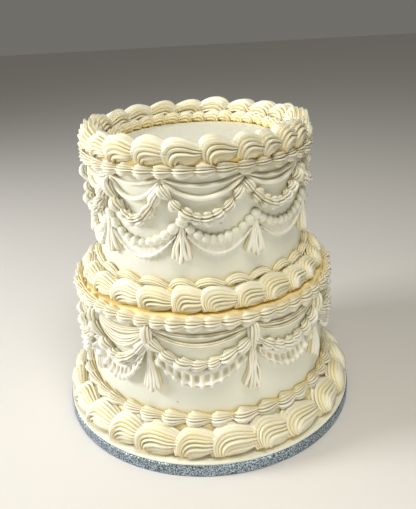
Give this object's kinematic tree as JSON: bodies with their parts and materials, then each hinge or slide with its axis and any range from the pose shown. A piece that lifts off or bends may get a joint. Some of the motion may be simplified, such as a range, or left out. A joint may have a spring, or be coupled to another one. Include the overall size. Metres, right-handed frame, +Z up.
{
  "type": "tiered cake",
  "caption": "Two-tier round buttercream cake with over-piped shell borders, string and garland swags, ruffles and tassels, on an iced round drum board.",
  "frame": {"origin": "centre of the cake board's underside", "axes": "+Z up along the cake's axis; the pictured front faces -Y"},
  "size_m": [0.3048, 0.3048, 0.2973],
  "materials": {
    "white_buttercream": "matt off-white buttercream, scraped smooth on the tiers and piped in fine ridges elsewhere",
    "yellow_buttercream": "matt pale butter-yellow buttercream, piped in deep ridges, yellower in its creases",
    "silver_foil": "finely embossed silver foil paper over a cake drum"
  },
  "bodies": {
    "root": {"base_border": "white_buttercream", "base_shells": "yellow_buttercream", "board_icing": "white_buttercream", "cake_board": "silver_foil", "ledge_scrolls": "yellow_buttercream", "ledge_shells": "yellow_buttercream", "lower_border": "white_buttercream", "lower_garland": "white_buttercream", "lower_ruffle_01": "white_buttercream", "lower_ruffle_02": "white_buttercream", "lower_ruffle_03": "white_buttercream", "lower_ruffle_04": "white_buttercream", "lower_ruffle_05": "white_buttercream", "lower_ruffle_06": "white_buttercream", "lower_ruffle_07": "white_buttercream", "lower_ruffle_08": "white_buttercream", "lower_ruffle_09": "white_buttercream", "lower_ruffle_10": "white_buttercream", "lower_string_long": "white_buttercream", "lower_string_short": "white_buttercream", "lower_tassel_01": "white_buttercream", "lower_tassel_02": "white_buttercream", "lower_tassel_03": "white_buttercream", "lower_tassel_04": "white_buttercream", "lower_tassel_05": "white_buttercream", "lower_tassel_06": "white_buttercream", "lower_tassel_07": "white_buttercream", "lower_tassel_08": "white_buttercream", "lower_tassel_09": "white_buttercream", "lower_tassel_10": "white_buttercream", "lower_tier": "white_buttercream", "rim_inner_shells": "yellow_buttercream", "rim_shells": "yellow_buttercream", "upper_bead_garland": "white_buttercream", "upper_border": "white_buttercream", "upper_garland": "white_buttercream", "upper_ruffle_01": "white_buttercream", "upper_ruffle_02": "white_buttercream", "upper_ruffle_03": "white_buttercream", "upper_ruffle_04": "white_buttercream", "upper_ruffle_05": "white_buttercream", "upper_ruffle_06": "white_buttercream", "upper_ruffle_07": "white_buttercream", "upper_ruffle_08": "white_buttercream", "upper_ruffle_09": "white_buttercream", "upper_ruffle_10": "white_buttercream", "upper_string_long": "white_buttercream", "upper_string_short": "white_buttercream", "upper_tassel_01": "white_buttercream", "upper_tassel_02": "white_buttercream", "upper_tassel_03": "white_buttercream", "upper_tassel_04": "white_buttercream", "upper_tassel_05": "white_buttercream", "upper_tassel_06": "white_buttercream", "upper_tassel_07": "white_buttercream", "upper_tassel_08": "white_buttercream", "upper_tassel_09": "white_buttercream", "upper_tassel_10": "white_buttercream", "upper_tier": "white_buttercream"}
  },
  "joints": []
}
